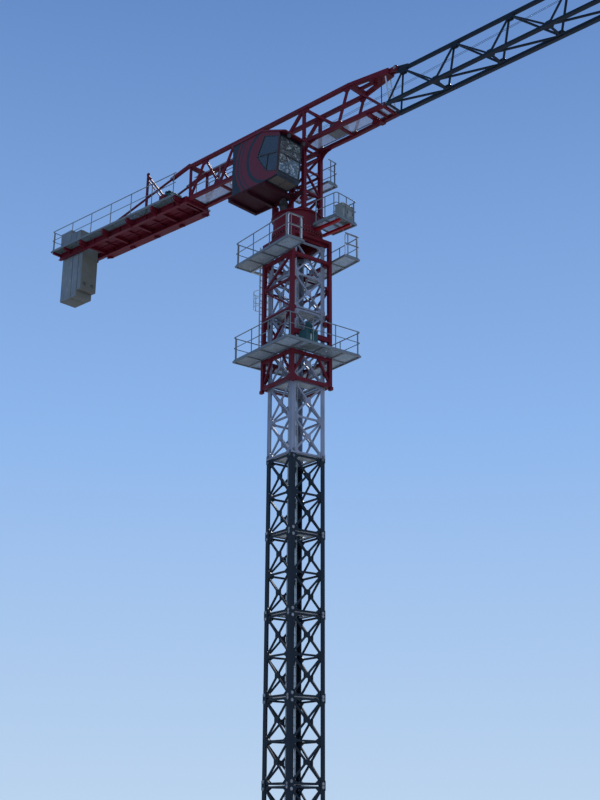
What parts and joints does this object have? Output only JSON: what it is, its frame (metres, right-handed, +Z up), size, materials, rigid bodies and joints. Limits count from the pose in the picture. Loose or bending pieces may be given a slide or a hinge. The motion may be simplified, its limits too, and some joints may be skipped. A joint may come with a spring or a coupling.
{
  "type": "tower crane",
  "caption": "Tower crane with lattice mast, climbing cage, slewing upper part with cab, counter-jib with ballast and the inner part of its jib.",
  "frame": {"origin": "centre of the mast's foot, on the face that stands on the foundation", "axes": "+Z up along the mast, +X along the jib from the mast to the tip, the cab on the -Y side"},
  "size_m": [37.7449, 4.3469, 30.7212],
  "materials": {
    "dark_blue_paint": "satin, weathered",
    "grey_paint": "satin, weathered",
    "red_paint": "satin, weathered",
    "galvanised_steel": "dull zinc",
    "teal_paint": "satin",
    "dark_paint": "satin, greasy",
    "cabinet_paint": "satin",
    "cab_paint": "satin",
    "glass": "clear, lightly tinted",
    "seat_vinyl": "matt",
    "wire_rope": "greasy",
    "concrete": "rough, stained"
  },
  "bodies": {
    "mast": {"base_frame": "dark_blue_paint", "mast_section_1": "dark_blue_paint", "mast_section_2": "dark_blue_paint", "mast_section_3": "dark_blue_paint", "mast_section_4": "dark_blue_paint", "mast_section_5": "dark_blue_paint", "mast_section_6": "grey_paint", "mast_section_7": "grey_paint", "mast_section_8": "grey_paint", "mast_ladder": "galvanised_steel", "rest_platforms": "galvanised_steel", "climbing_cage": "red_paint", "cage_lower_deck": "galvanised_steel", "cage_upper_deck": "galvanised_steel", "cage_lower_railing": "galvanised_steel", "cage_upper_railing": "galvanised_steel", "jacking_unit": "teal_paint", "slewing_support": "red_paint"},
    "upper": {"turntable": "red_paint", "slewing_motors": "dark_paint", "slewing_tower": "red_paint", "tower_walkway": "galvanised_steel", "cabinet_platform": "galvanised_steel", "electric_cabinet": "cabinet_paint", "cab_platform": "red_paint", "cab_shell": "cab_paint", "cab_glass": "glass", "cab_seat": "seat_vinyl", "root_truss": "red_paint", "jib_section_1": "dark_blue_paint", "jib_section_2": "dark_blue_paint", "jib_nose": "dark_blue_paint", "jib_pulleys": "dark_paint", "trolley": "red_paint", "hook_block": "red_paint", "crane_ropes": "wire_rope", "counter_jib_frame": "red_paint", "counter_jib_walkways": "galvanised_steel", "counter_jib_railings": "galvanised_steel", "tie_bars": "red_paint", "hoist_winch": "dark_paint", "winch_davit": "red_paint", "ballast_slabs": "concrete", "jib_walkway": "galvanised_steel", "trolley_winch": "teal_paint"}
  },
  "joints": [
    {"name": "slew", "type": "hinge", "parent": "mast", "child": "upper", "pos_m": [0, 0, 24.5], "axis": [0, 0, 1], "continuous": true}
  ]
}
